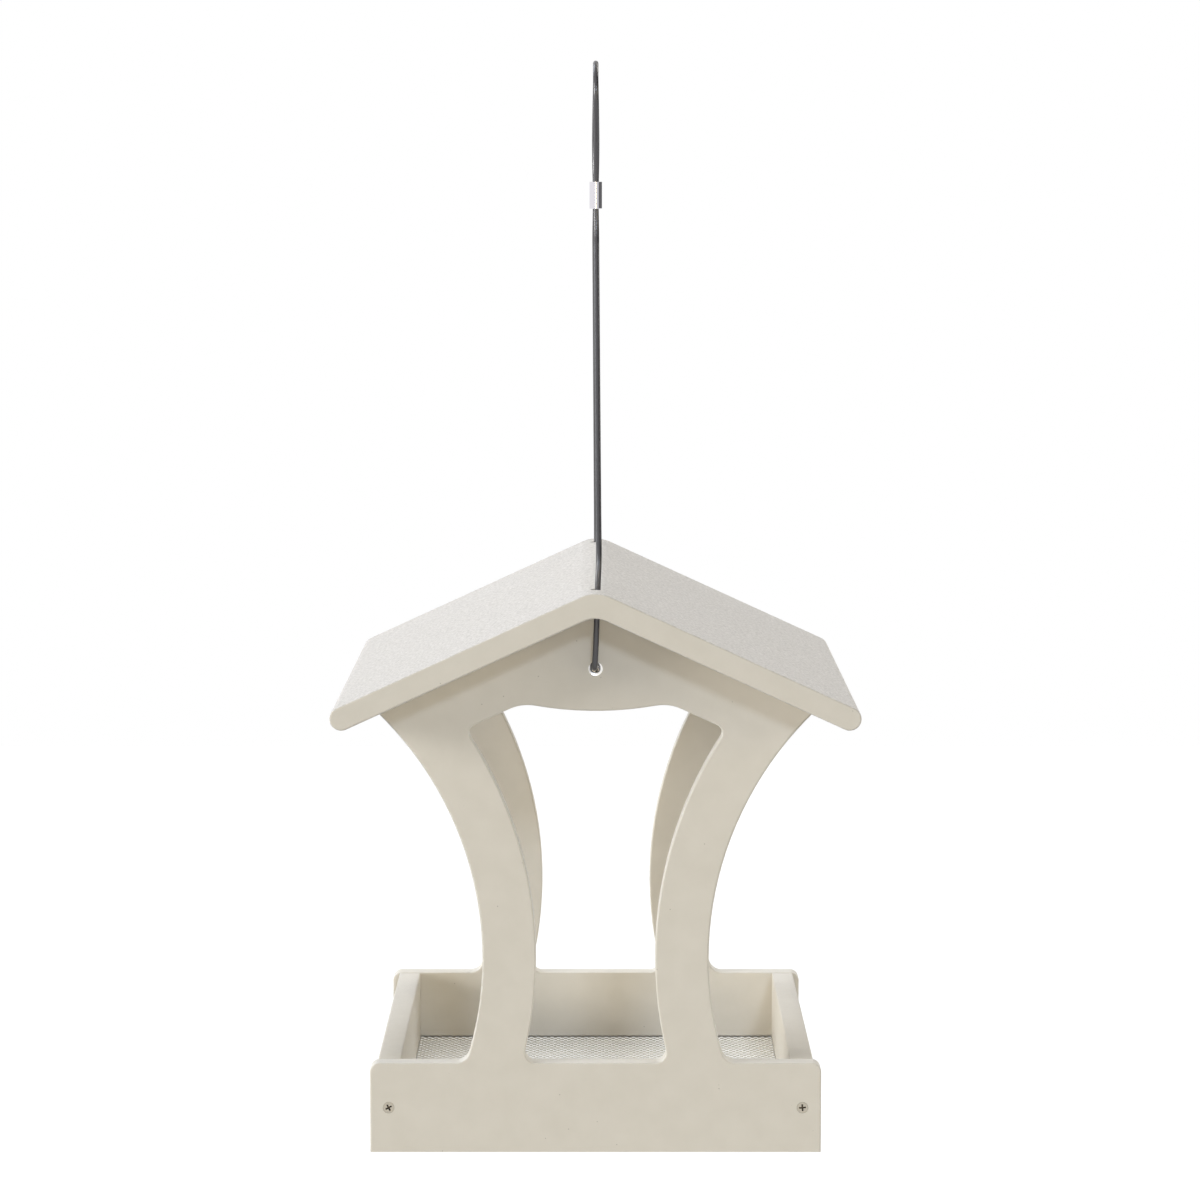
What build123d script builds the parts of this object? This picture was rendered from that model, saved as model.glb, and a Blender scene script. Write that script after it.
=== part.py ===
"""Fly-through bird feeder: an open seed tray between two cut-out end panels, under a loose folded roof
that slides up the cable loop the feeder hangs from.

Millimetres, +Z up. The origin is on the base plane, in the middle of the tray. The front is at -Y.
"""

import os
from math import atan2, cos, degrees, pi, radians, sin, sqrt, tan

from build123d import *

os.makedirs("parts", exist_ok=True)

# Board that every cut piece is made of
BOARD = 13.0
EDGE_EASE = 1.0

# Tray
PANEL_WIDTH = 254.0
TRAY_HEIGHT = 50.8
RAIL_LENGTH = 260.0
RAIL_INSET = 4.0
TRAY_CORNER_RADIUS = 5.0

# Posts of an end panel: two arcs about points out to each side, narrowest at the waist
WAIST_HEIGHT = 110.5
OUTER_WAIST = 63.5
POST_WIDTH = 30.0
OUTER_RADIUS = 195.0
INNER_RADIUS = 232.0
OUTER_FOOT_FILLET = 8.0
INNER_FOOT_FILLET = 6.0

# Gable of an end panel: sloping shoulders and a shallow arch that dips in the middle
ROOF_SLOPE = 24.6
GABLE_APEX = 307.0
SHOULDER_BAND = 30.5
GABLE_DEPTH = 56.6
ARCH_RADIUS = 195.0
ARCH_CORNER_FILLET = 5.0
ARCH_CREST_FILLET = 24.0

# Roof: one board folded along the ridge, with rounded eaves
ROOF_WIDTH = 292.6
ROOF_OVERHANG = 36.0
RIDGE_OUTER_RADIUS = 20.0
RIDGE_INNER_RADIUS = 15.0
ROOF_SEAT_GAP = 0.3

# Perforated seed screen, held in a groove round the inside of the tray
SCREEN_HEIGHT = 10.0
SCREEN_THICKNESS = 0.8
SCREEN_CLEARANCE = 0.8
GROOVE_DEPTH = 5.0
SCREEN_PLAY = 0.4
# The real holes are about 2.8 mm on a 4.25 mm pitch: the pattern is drawn wider to keep it light
SCREEN_HOLE_PITCH = 14.0
SCREEN_HOLE_RADIUS = 5.2
SCREEN_BORDER = 2.5

# Countersunk screws through the panels into the rail ends
SCREW_LENGTH = 32.0
SCREW_HEAD_DIAMETER = 6.6
SCREW_SHANK_DIAMETER = 3.5
SCREW_POINT = 4.0
SCREW_HEAD_ANGLE = 82.0
SCREW_CLEARANCE = 0.1
RECESS_SPAN = 3.6
RECESS_WIDTH = 0.9
RECESS_DEPTH = 1.3

# Coated steel cable, and the play it has in the holes it runs through
CABLE_DIAMETER = 3.2
CABLE_STANDOFF = 10.0
CABLE_BEND = 8.5
EYELET_PLAY = 1.8
ROOF_HOLE_PLAY = 3.2

# Metal eyelet in each gable
EYELET_DROP = 32.7
EYELET_WALL = 0.7
EYELET_FLANGE = 0.9
EYELET_LIP = 0.7
EYELET_CLEARANCE = 0.05

# Sleeves crimped on the cable: a stop on each end, and a ferrule under the hanging loop
CRIMP_CLEARANCE = 0.05
STOP_WALL = 1.9
STOP_LENGTH = 10.0
STOP_GAP = 0.1
STOP_EASE = 0.8
FERRULE_WALL = 2.05
FERRULE_LENGTH = 15.7
FERRULE_HEIGHT = 528.3
FERRULE_EASE = 0.6
STRAND_GAP = 0.2

# Levels and distances that the pieces share
INNER_FACE = RAIL_LENGTH / 2
OUTER_FACE = INNER_FACE + BOARD
RAIL_CENTRE = PANEL_WIDTH / 2 - RAIL_INSET - BOARD / 2
TRAY_HALF_WIDTH = RAIL_CENTRE - BOARD / 2
GROOVE_FLOOR = SCREEN_HEIGHT - SCREEN_THICKNESS
GROOVE_HEIGHT = SCREEN_THICKNESS + SCREEN_CLEARANCE
SLOPE_RISE = tan(radians(ROOF_SLOPE))
SLOPE_STRETCH = 1 / cos(radians(ROOF_SLOPE))
INNER_WAIST = OUTER_WAIST - POST_WIDTH
SHOULDER_APEX = GABLE_APEX - SHOULDER_BAND * SLOPE_STRETCH
ARCH_TROUGH = GABLE_APEX - GABLE_DEPTH
EYELET_HEIGHT = GABLE_APEX - EYELET_DROP
EYELET_BORE_RADIUS = (CABLE_DIAMETER + EYELET_PLAY) / 2
EYELET_BARREL_RADIUS = EYELET_BORE_RADIUS + EYELET_WALL
EYELET_LIP_RADIUS = EYELET_BARREL_RADIUS + EYELET_FLANGE
CABLE_LINE = OUTER_FACE + CABLE_STANDOFF
CABLE_SPACING = CABLE_DIAMETER + STRAND_GAP
ROOF_UNDERSIDE_APEX = GABLE_APEX + ROOF_SEAT_GAP * SLOPE_STRETCH
ROOF_TOP_APEX = ROOF_UNDERSIDE_APEX + BOARD * SLOPE_STRETCH
FERRULE_MIDDLE = FERRULE_HEIGHT + FERRULE_LENGTH / 2
STOP_INNER_END = INNER_FACE - EYELET_LIP - STOP_GAP - STOP_LENGTH

ENDS = (("front", -1), ("back", 1))
SIDES = (("left", -1), ("right", 1))


def end_plane(side, distance):
    """Plane across the feeder at a distance from its middle, facing out of that end: local y is up."""
    return Plane(origin=(0, side * distance, 0), x_dir=(-side, 0, 0), z_dir=(0, side, 0))


def section_plane(side, x=0.0, height=0.0):
    """Upright plane along the feeder: local x points out of that end, local y is up."""
    return Plane(origin=(x, 0, height), x_dir=(0, side, 0), z_dir=(side, 0, 0))


def slope_point(apex, x):
    """Point at x on the roof slope that falls from an apex on the centre line."""
    return (x, apex - x * SLOPE_RISE)


def arc_on_slope(apex, centre_x, centre_z, radius):
    """First point right of the centre line where a circle meets the slope that falls from the apex."""
    height = apex - centre_z
    a = 1 + SLOPE_RISE**2
    b = centre_x + SLOPE_RISE * height
    c = centre_x**2 + height**2 - radius**2
    root = sqrt(b**2 - a * c)
    x = min(r for r in ((b - root) / a, (b + root) / a) if r > 0)
    return slope_point(apex, x)


def arc_at_height(waist, radius, height):
    """Distance from the centre line of a post's arc at a height."""
    return waist + radius - sqrt(radius**2 - (height - WAIST_HEIGHT) ** 2)


# End panels: tray wall, posts, arch and gable cut from one board
post_foot = (arc_at_height(OUTER_WAIST, OUTER_RADIUS, TRAY_HEIGHT), TRAY_HEIGHT)
sill_end = (arc_at_height(INNER_WAIST, INNER_RADIUS, TRAY_HEIGHT), TRAY_HEIGHT)
shoulder = arc_on_slope(GABLE_APEX, OUTER_WAIST + OUTER_RADIUS, WAIST_HEIGHT, OUTER_RADIUS)
arch_corner = arc_on_slope(SHOULDER_APEX, INNER_WAIST + INNER_RADIUS, WAIST_HEIGHT, INNER_RADIUS)
arch_crest = arc_on_slope(SHOULDER_APEX, 0, ARCH_TROUGH + ARCH_RADIUS, ARCH_RADIUS)
arch_turn = degrees(atan2(arch_crest[0], ARCH_TROUGH + ARCH_RADIUS - arch_crest[1]))
rounded_corners = (
    (PANEL_WIDTH / 2, TRAY_HEIGHT, TRAY_CORNER_RADIUS),
    (*post_foot, OUTER_FOOT_FILLET),
    (*sill_end, INNER_FOOT_FILLET),
    (*arch_corner, ARCH_CORNER_FILLET),
    (*arch_crest, ARCH_CREST_FILLET),
)

for end, side in ENDS:
    with BuildPart() as panel:
        with BuildSketch(end_plane(side, INNER_FACE)):
            with BuildLine():
                Polyline((0, 0), (PANEL_WIDTH / 2, 0), (PANEL_WIDTH / 2, TRAY_HEIGHT), post_foot)
                ThreePointArc(post_foot, (OUTER_WAIST, WAIST_HEIGHT), shoulder)
                Line(shoulder, (0, GABLE_APEX))
                mirror(about=Plane.YZ)
            make_face()
            with BuildLine():
                Line((0, TRAY_HEIGHT), sill_end)
                ThreePointArc(sill_end, (INNER_WAIST, WAIST_HEIGHT), arch_corner)
                Line(arch_corner, arch_crest)
                JernArc((0, ARCH_TROUGH), (1, 0), ARCH_RADIUS, arch_turn)
                mirror(about=Plane.YZ)
            make_face(mode=Mode.SUBTRACT)
        extrude(amount=BOARD)

        # Round the outline's corners, and the top to the roof's fold
        for x, height, radius in rounded_corners:
            corners = panel.edges().filter_by(Axis.Y)
            for corner_x in (-x, x):
                fillet(corners.sort_by_distance((corner_x, side * OUTER_FACE, height))[0], radius)
                corners = panel.edges().filter_by(Axis.Y)
        fillet(panel.edges().filter_by(Axis.Y).sort_by(Axis.Z)[-1], RIDGE_INNER_RADIUS)

        # Ease the outline on both faces, but not the foot that the feeder stands on
        faces = panel.faces().filter_by(Axis.Y)
        fillet(faces.edges().filter_by(lambda edge: edge.center().Z > EDGE_EASE), EDGE_EASE)

        # Groove for the screen, stopped inside the rails
        with BuildSketch(end_plane(side, INNER_FACE)):
            with Locations((0, GROOVE_FLOOR + GROOVE_HEIGHT / 2)):
                Rectangle(2 * (TRAY_HALF_WIDTH + GROOVE_DEPTH), GROOVE_HEIGHT)
        extrude(amount=GROOVE_DEPTH, mode=Mode.SUBTRACT)

        with Locations(end_plane(side, OUTER_FACE)):
            with Locations((-RAIL_CENTRE, TRAY_HEIGHT / 2), (RAIL_CENTRE, TRAY_HEIGHT / 2)):
                CounterSinkHole(
                    SCREW_SHANK_DIAMETER / 2 + SCREW_CLEARANCE,
                    SCREW_HEAD_DIAMETER / 2 + SCREW_CLEARANCE,
                    depth=BOARD,
                    counter_sink_angle=SCREW_HEAD_ANGLE,
                )
            with Locations((0, EYELET_HEIGHT)):
                Hole(EYELET_BARREL_RADIUS + EYELET_CLEARANCE, depth=BOARD)
    panel.part.label = f"{end}_panel"
    export_step(panel.part, f"parts/{end}_panel.step")

# Side rails between the panels, with a pilot hole in each end
pilot_depth = SCREW_LENGTH - BOARD + SCREW_CLEARANCE
for hand, side in SIDES:
    with BuildPart() as rail:
        with BuildSketch(Plane.XZ.offset(-INNER_FACE)):
            with Locations((side * RAIL_CENTRE, TRAY_HEIGHT / 2)):
                Rectangle(BOARD, TRAY_HEIGHT)
        extrude(amount=RAIL_LENGTH)
        fillet(rail.edges().filter_by(Axis.Y).group_by(Axis.Z)[-1], EDGE_EASE)
        with BuildSketch(Plane.XZ.offset(-INNER_FACE)):
            with Locations((side * TRAY_HALF_WIDTH, GROOVE_FLOOR + GROOVE_HEIGHT / 2)):
                Rectangle(2 * GROOVE_DEPTH, GROOVE_HEIGHT)
        extrude(amount=RAIL_LENGTH, mode=Mode.SUBTRACT)
        for end, end_side in ENDS:
            with Locations(end_plane(end_side, INNER_FACE)):
                with Locations((-end_side * side * RAIL_CENTRE, TRAY_HEIGHT / 2)):
                    Hole(SCREW_SHANK_DIAMETER / 2 + SCREW_CLEARANCE, depth=pilot_depth)
    rail.part.label = f"{hand}_rail"
    export_step(rail.part, f"parts/{hand}_rail.step")

# Seed screen: a thin sheet with staggered holes
row_pitch = SCREEN_HOLE_PITCH * sqrt(3)
columns = int((2 * (TRAY_HALF_WIDTH - SCREEN_BORDER - SCREEN_HOLE_RADIUS)) // SCREEN_HOLE_PITCH) + 1
rows = int((2 * (INNER_FACE - SCREEN_BORDER - SCREEN_HOLE_RADIUS)) // row_pitch) + 1
with BuildPart() as screen:
    with BuildSketch(Plane.XY.offset(GROOVE_FLOOR)):
        reach = 2 * (GROOVE_DEPTH - SCREEN_PLAY)
        Rectangle(2 * TRAY_HALF_WIDTH + reach, RAIL_LENGTH + reach)
        with GridLocations(SCREEN_HOLE_PITCH, row_pitch, columns, rows):
            RegularPolygon(SCREEN_HOLE_RADIUS, 6, rotation=30, mode=Mode.SUBTRACT)
        with GridLocations(SCREEN_HOLE_PITCH, row_pitch, columns - 1, rows - 1):
            RegularPolygon(SCREEN_HOLE_RADIUS, 6, rotation=30, mode=Mode.SUBTRACT)
    extrude(amount=SCREEN_THICKNESS)
screen.part.label = "seed_screen"
export_step(screen.part, "parts/seed_screen.step")

# Tray screws, one at each corner, driven through the panels into the rail ends
head_cone = (SCREW_HEAD_DIAMETER - SCREW_SHANK_DIAMETER) / 2 / tan(radians(SCREW_HEAD_ANGLE / 2))
for end, side in ENDS:
    for hand, hand_side in SIDES:
        screw_x = hand_side * RAIL_CENTRE
        with BuildPart() as screw:
            with BuildSketch(section_plane(side, screw_x, TRAY_HEIGHT / 2)):
                with BuildLine():
                    Polyline(
                        (OUTER_FACE, 0),
                        (OUTER_FACE, SCREW_HEAD_DIAMETER / 2),
                        (OUTER_FACE - head_cone, SCREW_SHANK_DIAMETER / 2),
                        (OUTER_FACE - SCREW_LENGTH + SCREW_POINT, SCREW_SHANK_DIAMETER / 2),
                        (OUTER_FACE - SCREW_LENGTH, 0),
                        close=True,
                    )
                make_face()
            revolve(axis=Axis((screw_x, 0, TRAY_HEIGHT / 2), (0, 1, 0)))
            with BuildSketch(end_plane(side, OUTER_FACE)):
                with Locations((-side * screw_x, TRAY_HEIGHT / 2)):
                    Rectangle(RECESS_SPAN, RECESS_WIDTH)
                    Rectangle(RECESS_WIDTH, RECESS_SPAN)
            extrude(amount=-RECESS_DEPTH, mode=Mode.SUBTRACT)
        screw.part.label = f"{end}_{hand}_screw"
        export_step(screw.part, f"parts/{end}_{hand}_screw.step")

# Eyelets: a barrel through the gable with a lip rolled over each face
lip_middle = (EYELET_LIP_RADIUS + EYELET_BORE_RADIUS) / 2
for end, side in ENDS:
    with BuildPart() as eyelet:
        with BuildSketch(section_plane(side, height=EYELET_HEIGHT)):
            with BuildLine():
                Polyline(
                    (INNER_FACE, EYELET_LIP_RADIUS),
                    (INNER_FACE, EYELET_BARREL_RADIUS),
                    (OUTER_FACE, EYELET_BARREL_RADIUS),
                    (OUTER_FACE, EYELET_LIP_RADIUS),
                )
                ThreePointArc(
                    (OUTER_FACE, EYELET_LIP_RADIUS),
                    (OUTER_FACE + EYELET_LIP, lip_middle),
                    (OUTER_FACE, EYELET_BORE_RADIUS),
                )
                Line((OUTER_FACE, EYELET_BORE_RADIUS), (INNER_FACE, EYELET_BORE_RADIUS))
                ThreePointArc(
                    (INNER_FACE, EYELET_BORE_RADIUS),
                    (INNER_FACE - EYELET_LIP, lip_middle),
                    (INNER_FACE, EYELET_LIP_RADIUS),
                )
            make_face()
        revolve(axis=Axis((0, 0, EYELET_HEIGHT), (0, 1, 0)))
    eyelet.part.label = f"{end}_eyelet"
    export_step(eyelet.part, f"parts/{end}_eyelet.step")

# Cable stops: sleeves crimped on the cable ends inside the gables
for end, side in ENDS:
    with BuildPart() as stop:
        with BuildSketch(end_plane(side, STOP_INNER_END)):
            with Locations((0, EYELET_HEIGHT)):
                Circle(CABLE_DIAMETER / 2 + STOP_WALL)
        extrude(amount=STOP_LENGTH)
        fillet(stop.edges().filter_by(GeomType.CIRCLE), STOP_EASE)
        with Locations(end_plane(side, STOP_INNER_END + STOP_LENGTH)):
            with Locations((0, EYELET_HEIGHT)):
                Hole(CABLE_DIAMETER / 2 + CRIMP_CLEARANCE, depth=STOP_LENGTH)
    stop.part.label = f"{end}_cable_stop"
    export_step(stop.part, f"parts/{end}_cable_stop.step")

# Roof
eave_centre = ROOF_WIDTH / 2 - BOARD / 2
eave_tip = (ROOF_WIDTH / 2, (ROOF_TOP_APEX + ROOF_UNDERSIDE_APEX) / 2 - eave_centre * SLOPE_RISE)
eave_lean = BOARD / 2 * sin(radians(ROOF_SLOPE))
eave_top = slope_point(ROOF_TOP_APEX, eave_centre + eave_lean)
eave_bottom = slope_point(ROOF_UNDERSIDE_APEX, eave_centre - eave_lean)
with BuildPart() as roof:
    with BuildSketch(Plane.XZ.offset(-OUTER_FACE - ROOF_OVERHANG)):
        with BuildLine():
            Line((0, ROOF_TOP_APEX), eave_top)
            ThreePointArc(eave_top, eave_tip, eave_bottom)
            Line(eave_bottom, (0, ROOF_UNDERSIDE_APEX))
            mirror(about=Plane.YZ)
        make_face()
    extrude(amount=2 * (OUTER_FACE + ROOF_OVERHANG))
    for apex, radius in ((ROOF_TOP_APEX, RIDGE_OUTER_RADIUS), (ROOF_UNDERSIDE_APEX, RIDGE_INNER_RADIUS)):
        fold = roof.edges().filter_by(Axis.Y).sort_by_distance((0, 0, apex))[0]
        fillet(fold, radius)
    gable_ends = roof.faces().filter_by(Axis.Y)
    fillet(gable_ends.edges(), EDGE_EASE)
    with Locations(Plane.XY.offset(ROOF_TOP_APEX)):
        with Locations((0, -CABLE_LINE), (0, CABLE_LINE)):
            Hole((CABLE_DIAMETER + ROOF_HOLE_PLAY) / 2, depth=ROOF_TOP_APEX - EYELET_HEIGHT)
roof.part.label = "roof"
export_step(roof.part, "parts/roof.step")

# Ferrule that clamps the two strands under the hanging loop
with BuildPart() as ferrule:
    with BuildSketch(Plane.XY.offset(FERRULE_HEIGHT)):
        SlotCenterToCenter(CABLE_SPACING, CABLE_DIAMETER + 2 * FERRULE_WALL, rotation=90)
    extrude(amount=FERRULE_LENGTH)
    fillet(ferrule.faces().filter_by(Axis.Z).edges(), FERRULE_EASE)
    with BuildSketch(Plane.XY.offset(FERRULE_HEIGHT)):
        SlotCenterToCenter(CABLE_SPACING, CABLE_DIAMETER + 2 * CRIMP_CLEARANCE, rotation=90)
    extrude(amount=FERRULE_LENGTH, mode=Mode.SUBTRACT)
ferrule.part.label = "cable_ferrule"
export_step(ferrule.part, "parts/cable_ferrule.step")

# Cable: each route is points (out from the middle, up), with arcs as large as the runs allow.
# The feeder's weight pulls the strands straight, and the loop keeps the teardrop it is crimped in.
STRAND_FOOT = ROOF_TOP_APEX + 0.4
RISER_ROUTE = [
    (STOP_INNER_END, EYELET_HEIGHT),
    (CABLE_LINE, EYELET_HEIGHT),
    (CABLE_LINE, STRAND_FOOT),
]
STRAND_ROUTE = [
    (CABLE_LINE, STRAND_FOOT),
    (CABLE_LINE, STRAND_FOOT + 14.0),
    (CABLE_SPACING / 2, FERRULE_HEIGHT - 14.0),
    (CABLE_SPACING / 2, FERRULE_MIDDLE),
]
LOOP_SIDE = [
    (CABLE_SPACING / 2, FERRULE_MIDDLE),
    (CABLE_SPACING / 2, FERRULE_MIDDLE + 22.0),
    (18.8, FERRULE_MIDDLE + 49.9),
    (18.8, FERRULE_MIDDLE + 65.5),
    (7.8, FERRULE_MIDDLE + 76.5),
]
LOOP_ROUTE = [(-out, up) for out, up in LOOP_SIDE] + LOOP_SIDE[::-1]
ARC_SHARE = 0.45


def largest_arcs(points):
    """Radius for each inner point of a route, as large as its two runs allow."""
    radii = []
    for before, corner, after in zip(points, points[1:], points[2:]):
        first = Vector(corner) - Vector(before)
        second = Vector(after) - Vector(corner)
        turn = radians(first.get_angle(second))
        radii.append(ARC_SHARE * min(first.length, second.length) / tan(turn / 2))
    return radii


def make_cable(name, side, points, radii):
    """One stretch of the cable, swept along its route and written to its own file."""
    with BuildPart() as cable:
        with BuildLine(section_plane(side)) as route:
            FilletPolyline(*points, radius=radii)
        with BuildSketch(Plane(origin=route.line @ 0, z_dir=route.line % 0)):
            Circle(CABLE_DIAMETER / 2)
        sweep(path=route.line)
    length = route.wire().length
    ratio = cable.part.volume / (pi * CABLE_DIAMETER**2 / 4 * length)
    rounded = [round(radius, 1) for radius in radii]
    print(f"{name}: radii {rounded}, length {length:.1f}, volume over section times length {ratio:.4f}")
    cable.part.label = name
    export_step(cable.part, f"parts/{name}.step")


for end, side in ENDS:
    make_cable(f"{end}_cable_riser", side, RISER_ROUTE, [CABLE_BEND])
    make_cable(f"{end}_cable_strand", side, STRAND_ROUTE, largest_arcs(STRAND_ROUTE))
make_cable("hanging_loop", 1, LOOP_ROUTE, largest_arcs(LOOP_ROUTE))
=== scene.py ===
"""Looks of the fly-through bird feeder: its boards, perforated screen, hardware and hanging cable.

Pieces are modelled in millimetres and finished in metres, in the frame's axes: +Z up, the front at -Y.
"""

from math import ceil, cos, pi, radians, sin, sqrt

import bmesh
import bpy
from mathutils import Matrix, Vector


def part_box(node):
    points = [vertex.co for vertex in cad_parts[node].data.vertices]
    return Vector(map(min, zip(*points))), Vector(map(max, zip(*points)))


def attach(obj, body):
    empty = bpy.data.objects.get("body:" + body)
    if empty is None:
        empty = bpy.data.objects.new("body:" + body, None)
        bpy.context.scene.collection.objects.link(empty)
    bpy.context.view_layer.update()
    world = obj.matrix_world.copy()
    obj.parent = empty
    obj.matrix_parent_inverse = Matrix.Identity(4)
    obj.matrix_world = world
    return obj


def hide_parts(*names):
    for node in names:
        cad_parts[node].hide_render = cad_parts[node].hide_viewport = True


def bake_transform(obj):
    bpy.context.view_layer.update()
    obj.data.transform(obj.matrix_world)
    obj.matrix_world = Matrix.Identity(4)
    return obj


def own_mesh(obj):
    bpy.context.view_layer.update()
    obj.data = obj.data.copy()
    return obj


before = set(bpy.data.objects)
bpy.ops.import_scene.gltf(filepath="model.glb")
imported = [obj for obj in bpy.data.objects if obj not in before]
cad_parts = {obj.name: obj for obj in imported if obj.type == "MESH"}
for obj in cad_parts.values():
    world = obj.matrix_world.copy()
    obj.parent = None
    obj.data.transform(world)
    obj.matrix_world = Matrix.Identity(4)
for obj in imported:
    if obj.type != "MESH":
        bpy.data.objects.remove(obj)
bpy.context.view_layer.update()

MM = 0.001
ENDS = (("front", -1), ("back", 1))
SIDES = (("left", -1), ("right", 1))

# Camera, solved from the photograph's edges: a long lens that looks down a little
CAMERA_PLACE = (2.5 * MM, -2500 * MM, 549 * MM)
CAMERA_PITCH = 5.725
FOCAL_PIXELS = 4258
PHOTO_WIDTH = 1200
SENSOR_WIDTH = 36

# Studio: the floor lies well below the hanging feeder
FLOOR_HEIGHT = -600 * MM
FLOOR_SIZE = 12.0
FLOOR_GLOW = 0.6
PAPER_WHITE = "#FFFFFF"
# White paper all round gives a weak light from the front and a strong one from behind, which is full
# where the part of its direction along +Y reaches SKY_BACK_FROM
SKY_FRONT = 0.28
SKY_BACK = 0.86
SKY_BACK_FROM = 0.6
# Lamps: where the light comes from, its strength, how many degrees of the sky it fills, and its colour
LAMPS = {
    "left_softbox": ((-0.919, -0.335, 0.208), 2.14, 20, "#FFFFFF"),
    "right_softbox": ((0.846, -0.488, 0.208), 0.55, 20, "#FFF5DD"),
    "front_lamp": ((0.13, -0.916, 0.38), 0.67, 7, "#D7E7FF"),
    "low_softbox": ((0.0, -0.9975, 0.07), 0.33, 12, "#FFECC3"),
    "back_left_softbox": ((-0.579, 0.579, 0.574), 0.84, 25, "#EAF3FF"),
    "back_right_softbox": ((0.579, 0.579, 0.574), 0.74, 25, "#FFFAF2"),
}
# A dark flag on the right shows in reflections. Its edge and its full shade are cosines from its middle
FLAG_TOWARDS = (0.995, 0.1, 0.0)
FLAG_EDGE = 0.1
FLAG_FULL = 0.6
FLAG_SHADE = 0.15

# Boards: faces that look along the feeder, such as the panels' flats and the roof's sawn ends, are
# smoother than the rest and take none of the painted sheen. How squarely they look is the size of their
# normal's part along Y
END_FACE_FROM = 0.5
END_FACE_FULL = 0.9
END_FACE_GRAIN = 0.1

# Tray rails, with the screen's groove
RAIL_EASE = 1.0
RAIL_END_EASE = 1.5
GROOVE_DEPTH = 5.0
GROOVE_FLOOR = 9.2
GROOVE_TOP = 10.8

# Perforated sheet: staggered round holes, with spare rows that the cut to size takes off
HOLE_PITCH = 4.25
HOLE_DIAMETER = 2.8
HOLE_SIDES = 8
SPARE_ROWS = 2

# Tray screws, with a cross recess turned as each was left
SCREW_HEAD = 6.5
SCREW_RIM = 0.25
SCREW_SHANK = 3.5
SCREW_CONE = 1.8
SCREW_POINT = 4.0
SCREW_TIP = 0.02
SCREW_SIDES = 24
RECESS_SPAN = 3.9
RECESS_WIDTH = 0.9
RECESS_DEPTH = 1.3
RECESS_TAPER = 0.55
SCREW_TURNS = {
    "front_left": 28.0,
    "front_right": 5.0,
    "back_left": -17.0,
    "back_right": 40.0,
}

# Rolled eyelets in the gables. The flange is the node's reach past the board, and the brink is a share
# of the way from the rim down to the throat
EYELET_FLANGE = 0.7
EYELET_BORE = 4.3
EYELET_BARREL = 6.4
EYELET_RIM = 7.9
EYELET_LIP = 8.2
EYELET_PROUD = 0.65
EYELET_BRINK = 0.15
EYELET_DISH = 0.36
EYELET_THROAT = 4.5
EYELET_MOUTH = 0.3
EYELET_SIDES = 48
ARC_STEPS = 6

# Sleeves crimped on the cable. A stop's two bands start CRIMP_START from its middle, with sloping sides
STOP_DIAMETER = 7.0
STOP_EASE = 0.8
STOP_SIDES = 32
CRIMP_START = 0.5
CRIMP_SLOPE = 0.3
CRIMP_BAND = 2.2
CRIMP_DEPTH = 0.35
SLEEVE_BORE = 3.3
# A quarter of the ferrule's outline, each point with its inset from the front: the ridge's crest and
# foot as millimetres across, then the flats' corners as shares of half the width
FERRULE_RIDGE = ((0.15, 0.0), (0.4, 0.4))
FERRULE_FLATS = ((0.46, 0.65), (0.9, 2.25), (1.0, 3.5))
FERRULE_EASE = 0.2
FERRULE_LIP_ANGLE = 60

# Cable, and the points of its routes as (across, out from the middle, up)
CABLE_DIAMETER = 3.2
CABLE_SIDES = 24
CABLE_STEPS = 16
CABLE_LINE = 153.0
CABLE_SPACING = 3.4
STOP_INNER_END = 119.2
EYELET_HEIGHT = 274.3
STRAND_FOOT = 322.03
FERRULE_HEIGHT = 528.3
FERRULE_MIDDLE = 536.15
# The front and back runs show side by side by a hair, so each has its own places across
RISER_ROUTES = {
    "front": [
        (-0.5, STOP_INNER_END, EYELET_HEIGHT),
        (-0.5, 136.0, EYELET_HEIGHT),
        (-0.5, 149.0, EYELET_HEIGHT),
        (0.4, CABLE_LINE, 291.3),
        (1.3, CABLE_LINE, STRAND_FOOT),
    ],
    "back": [
        (-0.5, STOP_INNER_END, EYELET_HEIGHT),
        (-0.5, 136.0, EYELET_HEIGHT),
        (-0.5, 149.0, EYELET_HEIGHT),
        (-0.2, CABLE_LINE, 291.3),
        (0.3, CABLE_LINE, STRAND_FOOT),
    ],
}
STRAND_ROUTES = {
    "front": [
        (1.3, CABLE_LINE, STRAND_FOOT),
        (2.0, CABLE_LINE, STRAND_FOOT + 14.0),
        (1.7, 140.6, 350.7),
        (0.5, 14.1, 499.7),
        (0.45, CABLE_SPACING / 2, FERRULE_HEIGHT - 14.0),
        (0.0, CABLE_SPACING / 2, FERRULE_MIDDLE),
    ],
    "back": [
        (0.3, CABLE_LINE, STRAND_FOOT),
        (0.3, CABLE_LINE, STRAND_FOOT + 14.0),
        (0.2, 140.6, 350.7),
        (-0.4, 14.1, 499.7),
        (-0.45, CABLE_SPACING / 2, FERRULE_HEIGHT - 14.0),
        (0.0, CABLE_SPACING / 2, FERRULE_MIDDLE),
    ],
}
LOOP_SIDE = [
    (0.0, CABLE_SPACING / 2, FERRULE_MIDDLE),
    (-0.7, CABLE_SPACING / 2, FERRULE_MIDDLE + 22.0),
    (-0.4, 18.8, FERRULE_MIDDLE + 49.9),
    (0.0, 18.8, FERRULE_MIDDLE + 65.5),
    (0.0, 7.8, FERRULE_MIDDLE + 76.5),
]
LOOP_ROUTE = [(-across, -out, up) for across, out, up in LOOP_SIDE] + LOOP_SIDE[::-1]

# Edges that turn by more than this stay crisp
CRISP_ANGLE = 40
WELD = 0.005


# Colours and nodes

# Sockets of a Mix node that mixes colours
MIX_FIRST, MIX_SECOND, MIX_RESULT = 6, 7, 2


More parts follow.
